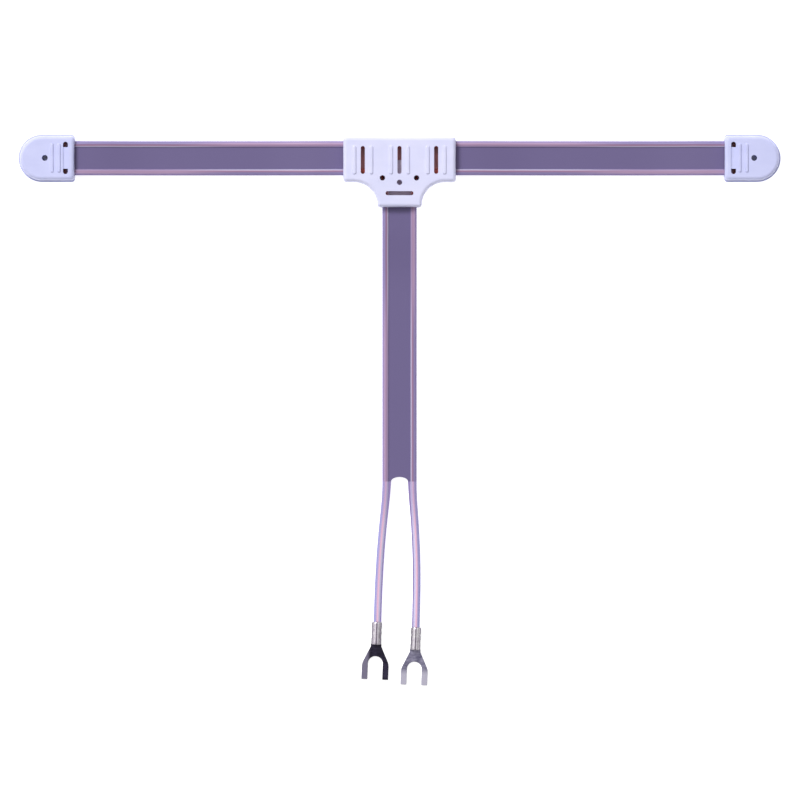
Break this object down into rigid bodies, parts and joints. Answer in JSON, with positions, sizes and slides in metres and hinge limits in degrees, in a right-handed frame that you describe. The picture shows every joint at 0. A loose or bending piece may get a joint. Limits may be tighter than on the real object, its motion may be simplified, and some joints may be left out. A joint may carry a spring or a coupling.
{
  "type": "indoor ribbon dipole aerial",
  "caption": "Indoor T aerial of flat twin ribbon: moulded T housing, side arms ending in caps with tack holes, and a lead that forks into legs with crimped fork lugs.",
  "frame": {"origin": "centre of the T housing's back face, under the crossing of the arm ribbon and the centre line of the lead", "axes": "+X along the right arm, +Y away from the lead, +Z out of the housing's front face"},
  "size_m": [0.2216, 0.1602, 0.0063],
  "materials": {
    "moulding": "pale lavender-white moulded plastic, satin gloss",
    "ribbon": "smoky translucent ribbon with pale edge beads",
    "held_ribbon": "smoky brown ribbon end seen in the shade of the housing",
    "leg_insulation": "clear bluish insulation with the wire showing pink inside",
    "copper": "bare stranded copper",
    "solder": "dull solder",
    "lug": "bright tin plate, dark in its creases"
  },
  "bodies": {
    "housing": {"housing_front_shell": "moulding", "housing_back_shell": "moulding", "arm_ribbon_centre": "held_ribbon", "upper_wire_centre": "copper", "lower_wire_centre_left": "copper", "lower_wire_centre_right": "copper", "lead_ribbon_tail": "held_ribbon", "lead_wire_tail_left": "copper", "lead_wire_tail_right": "copper", "solder_joint_left": "solder", "solder_joint_right": "solder", "joint_tail_left": "copper", "joint_tail_right": "copper"},
    "left_arm": {"left_arm_ribbon": "ribbon", "left_arm_upper_wire": "copper", "left_arm_lower_wire": "copper", "left_end_link": "copper", "left_cap_front_shell": "moulding", "left_cap_back_shell": "moulding"},
    "right_arm": {"right_arm_ribbon": "ribbon", "right_arm_upper_wire": "copper", "right_arm_lower_wire": "copper", "right_end_link": "copper", "right_cap_front_shell": "moulding", "right_cap_back_shell": "moulding"},
    "lead": {"lead_ribbon": "ribbon", "lead_left_wire": "copper", "lead_right_wire": "copper"},
    "left_leg": {"left_leg": "leg_insulation", "left_leg_wire": "copper", "left_fork_lug": "lug"},
    "right_leg": {"right_leg": "leg_insulation", "right_leg_wire": "copper", "right_fork_lug": "lug"}
  },
  "joints": [
    {"name": "left_arm_bend", "type": "hinge", "parent": "housing", "child": "left_arm", "pos_m": [-0.0176, 0, 0.0023], "axis": [0, 1, 0], "range_deg": [0, 90]},
    {"name": "right_arm_bend", "type": "hinge", "parent": "housing", "child": "right_arm", "pos_m": [0.0176, 0, 0.0023], "axis": [0, -1, 0], "range_deg": [0, 90]},
    {"name": "lead_bend", "type": "hinge", "parent": "housing", "child": "lead", "pos_m": [0, -0.0155, 0.0023], "axis": [-1, 0, 0], "range_deg": [0, 90]},
    {"name": "left_leg_spread", "type": "hinge", "parent": "lead", "child": "left_leg", "pos_m": [-0.00398, -0.094, 0.00085], "axis": [0, 0, -1], "range_deg": [0, 35]},
    {"name": "right_leg_spread", "type": "hinge", "parent": "lead", "child": "right_leg", "pos_m": [0.00398, -0.094, 0.00085], "axis": [0, 0, 1], "range_deg": [0, 35]}
  ]
}
